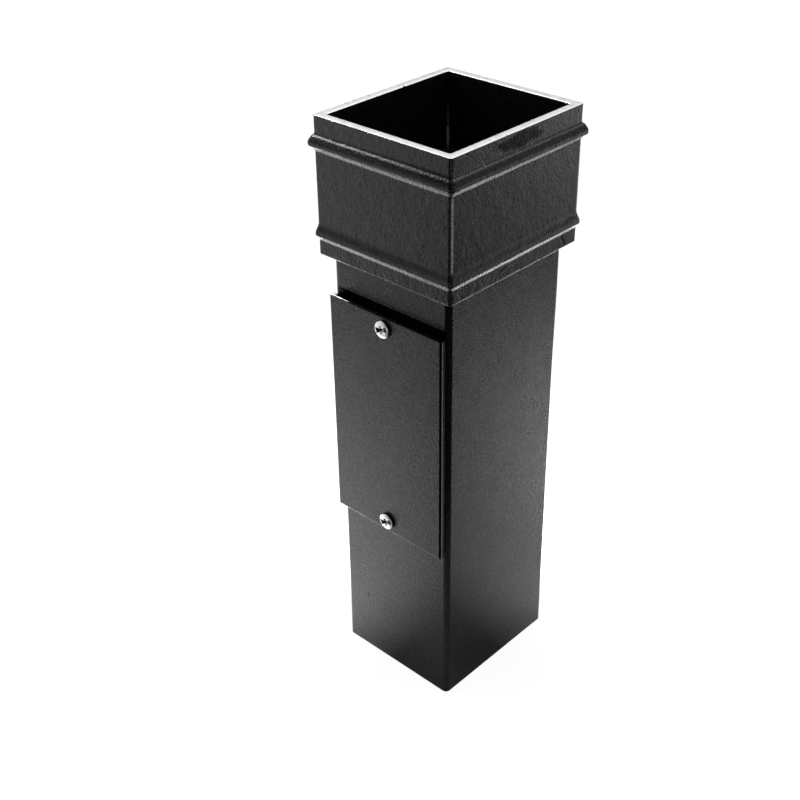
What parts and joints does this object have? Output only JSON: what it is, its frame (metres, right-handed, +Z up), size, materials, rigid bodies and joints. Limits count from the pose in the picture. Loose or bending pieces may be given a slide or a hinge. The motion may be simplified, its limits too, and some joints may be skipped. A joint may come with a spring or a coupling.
{
  "type": "rectangular downpipe access pipe",
  "caption": "Short rectangular rainwater downpipe with a beaded cast collar socket at the top and a gasketed access door held to one face by pan-head screws.",
  "frame": {"origin": "centre of the tube's bottom end, at the level it stands on", "axes": "+Z up the pipe to the socket's rim, -Y out of the face with the access door, X across the door"},
  "size_m": [0.099, 0.109, 0.3435],
  "materials": {
    "pipe_coat": "satin black powder coat on extruded aluminium",
    "cast_coat": "rough black powder coat on cast aluminium, with a bright machined rim",
    "door_coat": "satin black powder coat on aluminium plate",
    "gasket_rubber": "black rubber sheet",
    "screw_steel": "bright stainless steel"
  },
  "bodies": {
    "root": {"pipe": "pipe_coat", "socket_collar": "cast_coat", "door_gasket": "gasket_rubber", "access_door": "door_coat", "door_screw_upper": "screw_steel", "door_screw_lower": "screw_steel"}
  },
  "joints": []
}
